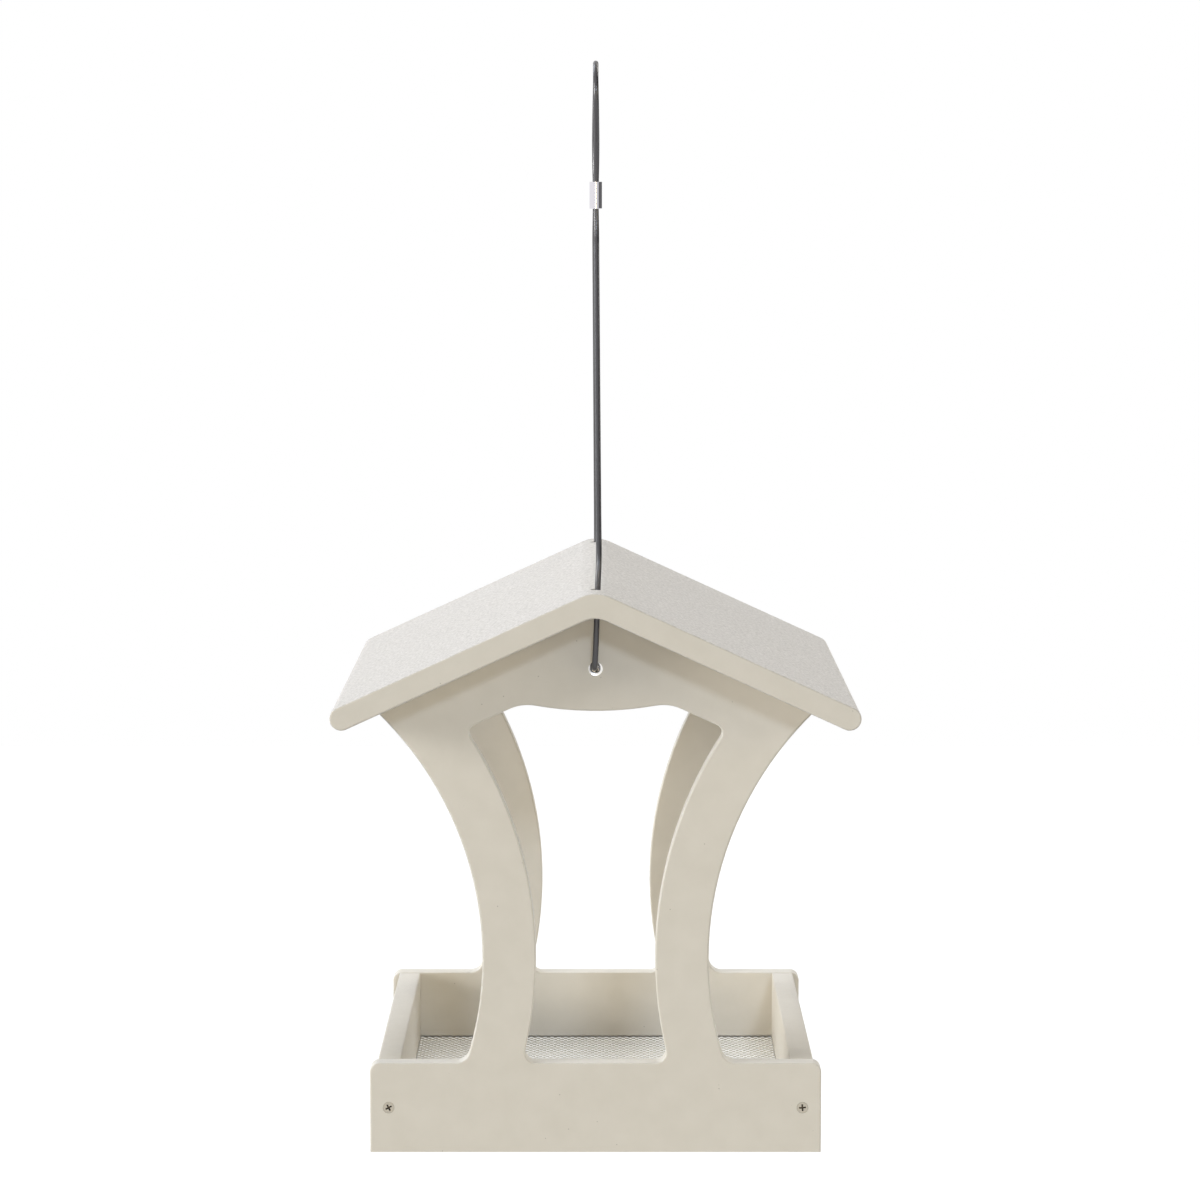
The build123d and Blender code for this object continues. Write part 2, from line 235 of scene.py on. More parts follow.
def linear(hex_colour):
    """Linear red, green, blue and alpha of an sRGB hex colour."""
    shares = [int(hex_colour[i : i + 2], 16) / 255 for i in (1, 3, 5)]
    return [s / 12.92 if s <= 0.04045 else ((s + 0.055) / 1.055) ** 2.4 for s in shares] + [1.0]


def add(tree, kind, settings, inputs):
    """Adds a node with its settings, and a value or a link for each of the inputs named."""
    made = tree.nodes.new(kind)
    for name, value in settings.items():
        setattr(made, name, value)
    for name, value in inputs.items():
        if isinstance(value, bpy.types.NodeSocket):
            tree.links.new(value, made.inputs[name])
        else:
            made.inputs[name].default_value = value
    return made


def new_material(name, **surface):
    """A material, its node tree and its shader, with the values that are the same all over."""
    material = bpy.data.materials.new(name)
    material.use_nodes = True
    shader = material.node_tree.nodes["Principled BSDF"]
    for socket, value in surface.items():
        shader.inputs[socket.replace("_", " ")].default_value = value
    return material, material.node_tree, shader


# Materials


def polyethylene_board(
    name, grain, grain_height, roughness, painted_sheen=0.0, shade_and_sheen_colours=("#FFFFFF", "#FFFFFF")
):
    """Recycled polyethylene sheet, pressed against a pebbled plate: a waxy cream, clouded by the melt,
    with pinhead specks of other plastic, and a pale sheen at a low angle. On faces that don't look
    along the feeder, the roof's slopes and the panels' routed edges, a paler pair of colours is painted
    over
    the cream by the share given: a painted sheen, darker in the grain's hollows as painted shade and
    lighter on its crests as a painted highlight. The roughness is that of the hollows and that of the
    crests."""
    cloud_size, pit_level, top_level = 14 * MM, 0.36, 0.64
    speck_spacing, speck_core, speck_edge, speck_strength = 11 * MM, 0.24 * MM, 0.4 * MM, 0.6
    smooth, rough = roughness
    material, tree, shader = new_material(name, IOR=1.52, Sheen_Weight=0.12, Sheen_Roughness=0.4)
    place = add(tree, "ShaderNodeTexCoord", {}, {}).outputs["Object"]

    cloud = add(tree, "ShaderNodeTexNoise", {}, {"Vector": place, "Scale": 1 / cloud_size, "Detail": 4})
    cream = add(
        tree,
        "ShaderNodeMix",
        {"data_type": "RGBA"},
        {"Factor": cloud.outputs["Fac"], MIX_FIRST: linear("#CDC6B7"), MIX_SECOND: linear("#D7D0C2")},
    )
    # The pebbles are about 0.4 mm on the real sheet, and drawn coarser to show
    pebble = add(tree, "ShaderNodeTexNoise", {}, {"Vector": place, "Scale": 1 / grain, "Detail": 2})
    height = add(
        tree,
        "ShaderNodeMapRange",
        {},
        {"Value": pebble.outputs["Fac"], "From Min": pit_level, "From Max": top_level},
    ).outputs[0]
    hollow_shade, crest_highlight = shade_and_sheen_colours
    # Paler colours painted over the cream as sheen: darker in the grain's hollows as painted shade,
    # lighter on its crests as a painted highlight
    sheen_painted_colour = add(
        tree,
        "ShaderNodeMix",
        {"data_type": "RGBA"},
        {"Factor": height, MIX_FIRST: linear(hollow_shade), MIX_SECOND: linear(crest_highlight)},
    )
    faces = add(tree, "ShaderNodeNewGeometry", {}, {})
    towards = add(tree, "ShaderNodeSeparateXYZ", {}, {"Vector": faces.outputs["Normal"]})
    along = add(tree, "ShaderNodeMath", {"operation": "ABSOLUTE"}, {0: towards.outputs["Y"]})
    # The painted sheen goes on faces that don't look along the feeder
    sheen_share = add(
        tree,
        "ShaderNodeMapRange",
        {},
        {
            "Value": along.outputs[0],
            "From Min": END_FACE_FROM,
            "From Max": END_FACE_FULL,
            "To Min": painted_sheen,
            "To Max": 0.0,
        },
    )
    sheet = add(
        tree,
        "ShaderNodeMix",
        {"data_type": "RGBA"},
        {
            "Factor": sheen_share.outputs[0],
            MIX_FIRST: cream.outputs[MIX_RESULT],
            MIX_SECOND: sheen_painted_colour.outputs[MIX_RESULT],
        },
    )
    speck = add(tree, "ShaderNodeTexVoronoi", {}, {"Vector": place, "Scale": 1 / speck_spacing})
    dot = add(
        tree,
        "ShaderNodeMapRange",
        {},
        {
            "Value": speck.outputs["Distance"],
            "From Min": speck_core / speck_spacing,
            "From Max": speck_edge / speck_spacing,
            "To Min": speck_strength,
            "To Max": 0.0,
        },
    )
    specked = add(
        tree,
        "ShaderNodeMix",
        {"data_type": "RGBA"},
        {
            "Factor": dot.outputs[0],
            MIX_FIRST: sheet.outputs[MIX_RESULT],
            MIX_SECOND: linear("#857D6E"),
        },
    )
    tree.links.new(specked.outputs[MIX_RESULT], shader.inputs["Base Color"])

    gloss = add(tree, "ShaderNodeMapRange", {}, {"Value": height, "To Min": smooth, "To Max": rough})
    tree.links.new(gloss.outputs[0], shader.inputs["Roughness"])
    pressed = add(
        tree,
        "ShaderNodeMapRange",
        {},
        {
            "Value": along.outputs[0],
            "From Min": END_FACE_FROM,
            "From Max": END_FACE_FULL,
            "To Min": 1.0,
            "To Max": END_FACE_GRAIN,
        },
    )
    bump = add(
        tree,
        "ShaderNodeBump",
        {},
        {"Height": height, "Strength": pressed.outputs[0], "Distance": grain_height},
    )
    tree.links.new(bump.outputs[0], shader.inputs["Normal"])
    return material


def mill_aluminium():
    """Aluminium sheet as it leaves the rolls and the punch: a soft silver, streaked a little along the
    rolling, with the walls of its holes painted a whiter silver than its flats, a painted highlight."""
    streak_length, streak_width = 30 * MM, 1.5 * MM
    smooth, rough = 0.42, 0.6
    material, tree, shader = new_material("mill_aluminium", Metallic=1.0)
    faces = add(tree, "ShaderNodeNewGeometry", {}, {})
    towards = add(tree, "ShaderNodeSeparateXYZ", {}, {"Vector": faces.outputs["Normal"]})
    flat = add(tree, "ShaderNodeMath", {"operation": "ABSOLUTE"}, {0: towards.outputs["Z"]})
    # Painted highlight: the hole walls, which neither face up nor down, take the whiter silver
    silver = add(
        tree,
        "ShaderNodeMix",
        {"data_type": "RGBA"},
        {"Factor": flat.outputs[0], MIX_FIRST: linear("#FAFAF8"), MIX_SECOND: linear("#E6E4DE")},
    )
    tree.links.new(silver.outputs[MIX_RESULT], shader.inputs["Base Color"])
    place = add(tree, "ShaderNodeTexCoord", {}, {}).outputs["Object"]
    along = add(
        tree,
        "ShaderNodeMapping",
        {},
        {"Vector": place, "Scale": (1 / streak_width, 1 / streak_length, 1 / streak_width)},
    )
    streak = add(
        tree, "ShaderNodeTexNoise", {}, {"Vector": along.outputs[0], "Scale": 1.0, "Detail": 3}
    )
    gloss = add(
        tree,
        "ShaderNodeMapRange",
        {},
        {"Value": streak.outputs["Fac"], "To Min": smooth, "To Max": rough},
    )
    tree.links.new(gloss.outputs[0], shader.inputs["Roughness"])
    return material


def zinc_plate(head_face):
    """Zinc plate on the screws: a warm silver, dulled unevenly by the tumbling barrel, and painted dark
    below the head's face in the recess, as painted shade."""
    blotch, lit_depth, shade_depth = 0.9 * MM, 0.05 * MM, 0.25 * MM
    smooth, rough = 0.35, 0.5
    material, tree, shader = new_material("zinc_plate", Metallic=1.0)
    place = add(tree, "ShaderNodeTexCoord", {}, {}).outputs["Object"]
    dull = add(tree, "ShaderNodeTexNoise", {}, {"Vector": place, "Scale": 1 / blotch, "Detail": 2})
    silver = add(
        tree,
        "ShaderNodeMix",
        {"data_type": "RGBA"},
        {"Factor": dull.outputs["Fac"], MIX_FIRST: linear("#9A958B"), MIX_SECOND: linear("#AAA59A")},
    )
    across = add(tree, "ShaderNodeSeparateXYZ", {}, {"Vector": place})
    out = add(tree, "ShaderNodeMath", {"operation": "ABSOLUTE"}, {0: across.outputs["Y"]})
    unshaded = add(
        tree,
        "ShaderNodeMapRange",
        {},
        {
            "Value": out.outputs[0],
            "From Min": head_face - shade_depth,
            "From Max": head_face - lit_depth,
        },
    )
    # Painted shade: the recess below the head's face goes dark
    recess_shaded = add(
        tree,
        "ShaderNodeMix",
        {"data_type": "RGBA"},
        {
            "Factor": unshaded.outputs[0],
            MIX_FIRST: linear("#4A4238"),
            MIX_SECOND: silver.outputs[MIX_RESULT],
        },
    )
    tree.links.new(recess_shaded.outputs[MIX_RESULT], shader.inputs["Base Color"])
    gloss = add(
        tree,
        "ShaderNodeMapRange",
        {},
        {"Value": dull.outputs["Fac"], "To Min": smooth, "To Max": rough},
    )
    tree.links.new(gloss.outputs[0], shader.inputs["Roughness"])
    return material


def nickel_plate():
    """Bright nickel on the eyelets: a warm mirror, worn unevenly by the cable."""
    wear_size = 0.7 * MM
    smooth, rough = 0.16, 0.26
    material, tree, shader = new_material("nickel_plate", Metallic=1.0, Base_Color=linear("#F0EEEA"))
    place = add(tree, "ShaderNodeTexCoord", {}, {}).outputs["Object"]
    wear = add(tree, "ShaderNodeTexNoise", {}, {"Vector": place, "Scale": 1 / wear_size, "Detail": 1})
    gloss = add(
        tree,
        "ShaderNodeMapRange",
        {},
        {"Value": wear.outputs["Fac"], "To Min": smooth, "To Max": rough},
    )
    tree.links.new(gloss.outputs[0], shader.inputs["Roughness"])
    return material


def crimped_aluminium():
    """Drawn aluminium pressed in a polished die: bright flats, with fine lines along the sleeve."""
    line_width, line_length = 0.25 * MM, 12 * MM
    smooth, rough = 0.06, 0.14
    material, tree, shader = new_material(
        "crimped_aluminium", Metallic=1.0, Base_Color=linear("#E2DFE5")
    )
    place = add(tree, "ShaderNodeTexCoord", {}, {}).outputs["Object"]
    along = add(
        tree,
        "ShaderNodeMapping",
        {},
        {"Vector": place, "Scale": (1 / line_width, 1 / line_width, 1 / line_length)},
    )
    lines = add(tree, "ShaderNodeTexNoise", {}, {"Vector": along.outputs[0], "Scale": 1.0, "Detail": 2})
    gloss = add(
        tree,
        "ShaderNodeMapRange",
        {},
        {"Value": lines.outputs["Fac"], "To Min": smooth, "To Max": rough},
    )
    tree.links.new(gloss.outputs[0], shader.inputs["Roughness"])
    return material


def vinyl_coat():
    """Vinyl drawn over twisted steel strands: charcoal, with a broad satin highlight and the lay of the
    strands just showing."""
    strands, lay_length, lay_height = 6, 24 * MM, 0.01 * MM
    scuff_size, smooth, rough = 5 * MM, 0.3, 0.38
    material, tree, shader = new_material("vinyl_coat", IOR=1.53, Specular_IOR_Level=0.85)
    place = add(tree, "ShaderNodeTexCoord", {}, {}).outputs["Object"]
    scuff = add(tree, "ShaderNodeTexNoise", {}, {"Vector": place, "Scale": 1 / scuff_size, "Detail": 4})
    charcoal = add(
        tree,
        "ShaderNodeMix",
        {"data_type": "RGBA"},
        {"Factor": scuff.outputs["Fac"], MIX_FIRST: linear("#232125"), MIX_SECOND: linear("#2E2B2F")},
    )
    tree.links.new(charcoal.outputs[MIX_RESULT], shader.inputs["Base Color"])
    gloss = add(
        tree,
        "ShaderNodeMapRange",
        {},
        {"Value": scuff.outputs["Fac"], "To Min": smooth, "To Max": rough},
    )
    tree.links.new(gloss.outputs[0], shader.inputs["Roughness"])

    # The attribute holds the cosine and sine of the place round the cable, and the length along it
    lay = add(tree, "ShaderNodeAttribute", {"attribute_name": "lay"}, {})
    turn = add(tree, "ShaderNodeSeparateXYZ", {}, {"Vector": lay.outputs["Vector"]})
    angle = add(
        tree,
        "ShaderNodeMath",
        {"operation": "ARCTAN2"},
        {0: turn.outputs["Y"], 1: turn.outputs["X"]},
    )
    twist = add(
        tree,
        "ShaderNodeMath",
        {"operation": "MULTIPLY"},
        {0: turn.outputs["Z"], 1: 2 * pi / lay_length},
    )
    phase = add(
        tree, "ShaderNodeMath", {"operation": "ADD"}, {0: angle.outputs[0], 1: twist.outputs[0]}
    )
    wave = add(tree, "ShaderNodeMath", {"operation": "MULTIPLY"}, {0: phase.outputs[0], 1: strands})
    ridge = add(tree, "ShaderNodeMath", {"operation": "SINE"}, {0: wave.outputs[0]})
    bump = add(
        tree,
        "ShaderNodeBump",
        {},
        {"Height": ridge.outputs[0], "Strength": 1.0, "Distance": lay_height},
    )
    tree.links.new(bump.outputs[0], shader.inputs["Normal"])
    return material


# Pieces


def node_box(node):
    """Lowest and highest corner of a CAD node, in millimetres."""
    return [Vector(corner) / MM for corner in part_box(node)]


def end_matrix(side, across, out, up):
    """Place of a fitting in an end panel: local z points out of that end, and local y is up."""
    axes = Matrix(((-side, 0, 0), (0, 0, side), (0, 1, 0)))
    return Matrix.Translation((across, side * out, up)) @ axes.to_4x4()


def all_of(shape):
    """Every vertex, edge and face of a shape."""
    return shape.verts[:] + shape.edges[:] + shape.faces[:]


def new_points(geometry):
    """The vertices among what an operator made."""
    return [item for item in geometry if isinstance(item, bmesh.types.BMVert)]


def new_edges(geometry):
    """The edges among what an operator made."""
    return [item for item in geometry if isinstance(item, bmesh.types.BMEdge)]


def finish_piece(name, shape, material, slot, *nodes):
    """Turns a shape in millimetres into a piece that stands for its CAD nodes."""
    bmesh.ops.remove_doubles(shape, verts=shape.verts, dist=WELD)
    bmesh.ops.recalc_face_normals(shape, faces=shape.faces)
    bmesh.ops.scale(shape, vec=(MM, MM, MM), verts=shape.verts)
    mesh = bpy.data.meshes.new(name)
    shape.to_mesh(mesh)
    shape.free()
    mesh.materials.append(material)
    mesh.shade_smooth()
    mesh.set_sharp_from_angle(angle=radians(CRISP_ANGLE))
    piece = bpy.data.objects.new(name, mesh)
    bpy.context.scene.collection.objects.link(piece)
    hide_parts(*nodes)
    return piece


def spline_points(route):
    """Points in metres along the smooth spline that a route's points control."""
    curve = bpy.data.curves.new("route", "CURVE")
    curve.dimensions = "3D"
    curve.resolution_u = CABLE_STEPS
    spline = curve.splines.new("NURBS")
    spline.points.add(len(route) - 1)
    for point, place in zip(spline.points, route):
        point.co = (*(Vector(place) * MM), 1.0)
    spline.order_u = 3
    spline.use_endpoint_u = True
    holder = bpy.data.objects.new("route", curve)
    line = bpy.data.meshes.new_from_object(holder)
    places = [vertex.co.copy() for vertex in line.vertices]
    bpy.data.objects.remove(holder)
    bpy.data.curves.remove(curve)
    bpy.data.meshes.remove(line)
    return places


def make_cable(name, route, material, node):
    """A stretch of cable: a ring drawn along its spline. Returns the piece and the spline's points."""
    places = spline_points(route)
    shape = bmesh.new()
    lay = shape.verts.layers.float_vector.new("lay")
    stations = [place / MM for place in places]
    rings = []
    for index, place in enumerate(stations):
        before, after = stations[max(index - 1, 0)], stations[min(index + 1, len(stations) - 1)]
        along = (after - before).normalized()
        up = along.cross(Vector((1, 0, 0))).normalized()
        turned = Matrix((up.cross(along), up, along)).transposed().to_4x4()
        rings.append(Matrix.Translation(place) @ turned)

    circle = bmesh.ops.create_circle(
        shape, cap_ends=True, segments=CABLE_SIDES, radius=CABLE_DIAMETER / 2, matrix=rings[0]
    )
    ring = circle["verts"]
    length = 0.0
    for vertex in ring:
        local = rings[0].inverted() @ vertex.co
        vertex[lay] = (local.x, local.y, length)
    edges = list({edge for vertex in ring for edge in vertex.link_edges})
    for before, after in zip(rings, rings[1:]):
        drawn = bmesh.ops.extrude_edge_only(shape, edges=edges)["geom"]
        length += (after.translation - before.translation).length * MM
        ring = new_points(drawn)
        edges = [edge for edge in new_edges(drawn) if len(edge.link_faces) == 1]
        bmesh.ops.transform(shape, matrix=after @ before.inverted(), verts=ring)
        for vertex in ring:
            vertex[lay].z = length
    bmesh.ops.edgeloop_fill(shape, edges=edges)
    return finish_piece(name, shape, material, "cable_coating", node), places


def make_screen(material):
    """Perforated sheet: one holed cell in staggered rows, cut to size and given its thickness."""
    low, high = node_box("seed_screen")
    size = high - low
    row_pitch = HOLE_PITCH * sqrt(3) / 2
    columns = ceil(size.x / HOLE_PITCH) + SPARE_ROWS
    rows = ceil(size.y / row_pitch) + SPARE_ROWS
    shape = bmesh.new()
    bmesh.ops.create_grid(shape, x_segments=2, y_segments=2, size=0.5)
    bmesh.ops.scale(shape, vec=(HOLE_PITCH, row_pitch, 1), verts=shape.verts)
    middle = min(shape.verts, key=lambda vertex: vertex.co.length)
    bmesh.ops.delete(shape, geom=[middle], context="VERTS")
    bmesh.ops.create_circle(shape, segments=HOLE_SIDES, radius=HOLE_DIAMETER / 2)
    bmesh.ops.bridge_loops(shape, edges=shape.edges)

    cell = all_of(shape)
    for column in range(1, columns):
        copy = bmesh.ops.duplicate(shape, geom=cell)["geom"]
        bmesh.ops.translate(shape, vec=(column * HOLE_PITCH, 0, 0), verts=new_points(copy))
    line = all_of(shape)
    for row in range(1, rows):
        copy = bmesh.ops.duplicate(shape, geom=line)["geom"]
        stagger = HOLE_PITCH / 2 * (row % 2)
        bmesh.ops.translate(shape, vec=(stagger, row * row_pitch, 0), verts=new_points(copy))
    bmesh.ops.remove_doubles(shape, verts=shape.verts, dist=WELD)

    reach = Vector((columns * HOLE_PITCH, rows * row_pitch, 0))
    centre = (low + high) / 2
    start = Vector((centre.x, centre.y, high.z)) - reach / 2
    bmesh.ops.translate(shape, vec=start, verts=shape.verts)
    for corner, outwards in ((low, -1), (high, 1)):
        for direction in ((outwards, 0, 0), (0, outwards, 0)):
            bmesh.ops.bisect_plane(
                shape, geom=all_of(shape), plane_co=corner, plane_no=direction, clear_outer=True
            )
    bmesh.ops.recalc_face_normals(shape, faces=shape.faces)
    drop = bmesh.ops.extrude_face_region(shape, geom=shape.faces[:], use_keep_orig=True)["geom"]
    bmesh.ops.translate(shape, vec=(0, 0, low.z - high.z), verts=new_points(drop))
    sheet = finish_piece("perforated_sheet", shape, material, "screen_metal", "seed_screen")
    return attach(sheet, "feeder")


def make_rail(hand, side, material):
    """Side rail: its section with the screen's groove, drawn out along the tray and eased."""
    node = f"{hand}_rail"
    low, high = node_box(node)
    inner, outer = (high.x, low.x) if side < 0 else (low.x, high.x)
    groove = inner + side * GROOVE_DEPTH
    section = (
        (outer, low.z),
        (inner, low.z),
        (inner, GROOVE_FLOOR),
        (groove, GROOVE_FLOOR),
        (groove, GROOVE_TOP),
        (inner, GROOVE_TOP),
        (inner, high.z),
        (outer, high.z),
    )
    shape = bmesh.new()
    end = shape.faces.new([shape.verts.new((x, low.y, z)) for x, z in section])
    drawn = bmesh.ops.extrude_face_region(shape, geom=[end], use_keep_orig=True)["geom"]
    bmesh.ops.translate(shape, vec=(0, high.y - low.y, 0), verts=new_points(drawn))
    bmesh.ops.recalc_face_normals(shape, faces=shape.faces)
    top = [e for e in shape.edges if min(v.co.z for v in e.verts) > high.z - WELD]
    long_edges = [e for e in top if abs(e.verts[0].co.y - e.verts[1].co.y) > WELD]
    bmesh.ops.bevel(
        shape, geom=long_edges, offset=RAIL_EASE, affect="EDGES", segments=4, profile=0.5, material=-1
    )
    ends = [
        e
        for e in shape.edges
        if abs(e.verts[0].co.y - e.verts[1].co.y) < WELD
        and (e.verts[0].co.z + e.verts[1].co.z) / 2 > GROOVE_TOP
    ]
    bmesh.ops.bevel(
        shape, geom=ends, offset=RAIL_END_EASE, affect="EDGES", segments=2, profile=0.5, material=-1
    )
    rail = finish_piece(f"{hand}_tray_rail", shape, material, "cream_board", node)
    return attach(rail, "feeder")


def make_screw(end, side, hand, material):
    """Countersunk screw: a cross let into a round head, drawn down to a cone, a shank and a point."""
    name = f"{end}_{hand}"
    low, high = node_box(f"{name}_screw")
    centre = (low + high) / 2
    shape = bmesh.new()
    span, width = RECESS_SPAN / 2, RECESS_WIDTH / 2
    arm = ((width, width), (span, width), (span, -width))
    quarters = (Matrix.Rotation(-pi / 2 * quarter, 2) for quarter in range(4))
    outline = [quarter @ Vector(corner) for quarter in quarters for corner in arm]
    points = [shape.verts.new((x, y, 0)) for x, y in outline]
    edges = [shape.edges.new(pair) for pair in zip(points, points[1:] + points[:1])]
    bmesh.ops.subdivide_edges(shape, edges=edges, cuts=1)
    cross = shape.edges[:]
    circle = bmesh.ops.create_circle(shape, segments=SCREW_SIDES, radius=SCREW_HEAD / 2)["verts"]
    ring = list({e for v in circle for e in v.link_edges})
    bmesh.ops.bridge_loops(shape, edges=cross + ring)
    drawn = bmesh.ops.extrude_edge_only(shape, edges=cross)["geom"]
    sunk = new_points(drawn)
    bmesh.ops.translate(shape, vec=(0, 0, -RECESS_DEPTH), verts=sunk)
    bmesh.ops.scale(shape, vec=(RECESS_TAPER, RECESS_TAPER, 1), verts=sunk)
    bmesh.ops.edgeloop_fill(shape, edges=[e for e in new_edges(drawn) if e.is_boundary])

    depth = high.y - low.y
    levels = (
        (SCREW_HEAD, SCREW_RIM),
        (SCREW_SHANK, SCREW_CONE),
        (SCREW_SHANK, depth - SCREW_POINT),
        (SCREW_TIP, depth),
    )
    width, level = SCREW_HEAD, 0.0
    for next_width, next_level in levels:
        drawn = bmesh.ops.extrude_edge_only(shape, edges=ring)["geom"]
        points, ring = new_points(drawn), [e for e in new_edges(drawn) if e.is_boundary]
        bmesh.ops.translate(shape, vec=(0, 0, level - next_level), verts=points)
        bmesh.ops.scale(shape, vec=(next_width / width, next_width / width, 1), verts=points)
        width, level = next_width, next_level
    bmesh.ops.edgeloop_fill(shape, edges=ring)
    turned = Matrix.Rotation(radians(SCREW_TURNS[name]), 4, "Z")
    out = max(abs(low.y), abs(high.y))
    fitted = end_matrix(side, centre.x, out, centre.z) @ turned
    bmesh.ops.transform(shape, matrix=fitted, verts=shape.verts)
    screw = finish_piece(f"{name}_tray_screw", shape, material, "screw_steel", f"{name}_screw")
    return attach(screw, "feeder")


def quarter_arc(start, finish, steps):
    """Points of a quarter ellipse that leaves start along the second axis and meets finish along the
    first."""
    turns = [pi / 2 * step / steps for step in range(steps + 1)]
    return [
        (
            start[0] + (finish[0] - start[0]) * (1 - cos(turn)),
            start[1] + (finish[1] - start[1]) * sin(turn),
        )
        for turn in turns
    ]


def spun_fitting(section, sides):
    """A round fitting: half its section, as radius and height from its middle, spun and mirrored."""
    shape = bmesh.new()
    points = [shape.verts.new((radius, 0, height)) for radius, height in section]
    edges = [shape.edges.new(pair) for pair in zip(points, points[1:])]
    bmesh.ops.spin(
        shape,
        geom=points + edges,
        cent=(0, 0, 0),
        axis=(0, 0, 1),
        angle=2 * pi,
        steps=sides,
        use_merge=True,
    )
    bmesh.ops.mirror(shape, geom=all_of(shape), axis="Z", merge_dist=WELD)
    return shape


def make_eyelet(end, side, material):
    """Eyelet: a barrel through the gable, rolled to a lip at both ends and dished into its bore."""
    low, high = node_box(f"{end}_eyelet")
    centre = (low + high) / 2
    half_board = (high.y - low.y) / 2 - EYELET_FLANGE
    rim = (EYELET_RIM / 2, half_board + EYELET_PROUD)
    outer_roll = quarter_arc((EYELET_LIP / 2, half_board), rim, ARC_STEPS)
    throat = (EYELET_THROAT / 2, half_board + EYELET_PROUD - EYELET_DISH)
    mouth = quarter_arc((EYELET_BORE / 2, half_board - EYELET_MOUTH), throat, ARC_STEPS)
    brink = Vector(rim).lerp(throat, EYELET_BRINK)
    section = (
        [(EYELET_BARREL / 2, 0.0), (EYELET_BARREL / 2, half_board)]
        + outer_roll
        + [tuple(brink)]
        + mouth[::-1]
        + [(EYELET_BORE / 2, 0.0)]
    )
    shape = spun_fitting(section, EYELET_SIDES)
    fitted = end_matrix(side, centre.x, abs(centre.y), centre.z)
    bmesh.ops.transform(shape, matrix=fitted, verts=shape.verts)
    eyelet = finish_piece(f"{end}_rolled_eyelet", shape, material, "eyelet_metal", f"{end}_eyelet")
    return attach(eyelet, "feeder")


def make_stop(end, side, material):
    """Stop on the cable's end: a round sleeve with two bands pressed in by the crimping die."""
    low, high = node_box(f"{end}_cable_stop")
    centre = (low + high) / 2
    half = (high.y - low.y) / 2
    radius = STOP_DIAMETER / 2
    pressed = radius - CRIMP_DEPTH
    band_start = CRIMP_START + CRIMP_SLOPE
    band_end = band_start + CRIMP_BAND
    section = (
        [(radius, 0.0), (radius, CRIMP_START), (pressed, band_start), (pressed, band_end)]
        + [(radius, band_end + CRIMP_SLOPE)]
        + quarter_arc((radius, half - STOP_EASE), (radius - STOP_EASE, half), ARC_STEPS)
        + [(SLEEVE_BORE / 2, half), (SLEEVE_BORE / 2, 0.0)]
    )
    shape = spun_fitting(section, STOP_SIDES)
    fitted = end_matrix(side, centre.x, abs(centre.y), centre.z)
    bmesh.ops.transform(shape, matrix=fitted, verts=shape.verts)
    stop = finish_piece(f"{end}_crimped_stop", shape, material, "crimp_aluminium", f"{end}_cable_stop")
    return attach(stop, "feeder")


def make_ferrule(material):
    """Ferrule: an oval sleeve round both strands, pressed to flats that leave a thin ridge at the front
    and the back."""
    low, high = node_box("cable_ferrule")
    width, depth = (high.x - low.x) / 2, (high.y - low.y) / 2
    shape = bmesh.new()
    quarter = [(across, depth - inset) for across, inset in FERRULE_RIDGE]
    quarter += [(share * width, depth - inset) for share, inset in FERRULE_FLATS]
    half = quarter + [(x, -y) for x, y in quarter[::-1]]
    outline = half + [(-x, y) for x, y in half[::-1]]
    points = [shape.verts.new((x, y, low.z)) for x, y in outline]
    outer = [shape.edges.new(pair) for pair in zip(points, points[1:] + points[:1])]
    bore = bmesh.ops.create_circle(shape, segments=len(outline), radius=SLEEVE_BORE / 2)["verts"]
    for vertex in bore:
        vertex.co.y += CABLE_SPACING / 2 if vertex.co.y > 0 else -CABLE_SPACING / 2
        vertex.co.z = low.z
    inner = list({e for v in bore for e in v.link_edges})
    bmesh.ops.bridge_loops(shape, edges=outer + inner)
    drawn = bmesh.ops.extrude_face_region(shape, geom=shape.faces[:], use_keep_orig=True)["geom"]
    bmesh.ops.translate(shape, vec=(0, 0, high.z - low.z), verts=new_points(drawn))
    bmesh.ops.recalc_face_normals(shape, faces=shape.faces)
    lips = [
        e
        for e in shape.edges
        if abs(e.verts[0].co.z - e.verts[1].co.z) < WELD
        and e.calc_face_angle(0) > radians(FERRULE_LIP_ANGLE)
    ]
    bmesh.ops.bevel(
        shape, geom=lips, offset=FERRULE_EASE, affect="EDGES", segments=2, profile=0.5, material=-1
    )
    ferrule = finish_piece("crimped_ferrule", shape, material, "crimp_aluminium", "cable_ferrule")
    ferrule.data.shade_flat()
    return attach(ferrule, "hanger")


# The cable's stretches, with the crimped sleeves that they carry. A riser bends at its eyelet
vinyl = vinyl_coat()
aluminium = crimped_aluminium()
ferrule = make_ferrule(aluminium)
for end, side in ENDS:
    stop = make_stop(end, side, aluminium)
    route = [(across, side * out, up) for across, out, up in RISER_ROUTES[end]]
    riser, line = make_cable(f"{end}_riser_cable", route, vinyl, f"{end}_cable_riser")
    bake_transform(riser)

    route = [(across, side * out, up) for across, out, up in STRAND_ROUTES[end]]
    strand, line = make_cable(f"{end}_strand_cable", route, vinyl, f"{end}_cable_strand")
    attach(strand, "hanger")
    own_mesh(strand)

loop, line = make_cable("loop_cable", LOOP_ROUTE, vinyl, "hanging_loop")
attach(loop, "hanger")

# Tray and its hardware
rail_board = polyethylene_board(
    "sawn_polyethylene", grain=1.0 * MM, grain_height=0.02 * MM, roughness=(0.4, 0.52)
)
make_screen(mill_aluminium())
zinc = zinc_plate(head_face=-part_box("front_left_screw")[0][1])
nickel = nickel_plate()
for hand, side in SIDES:
    make_rail(hand, side, rail_board)
    for end, end_side in ENDS:
        make_screw(end, end_side, hand, zinc)
for end, side in ENDS:
    make_eyelet(end, side, nickel)
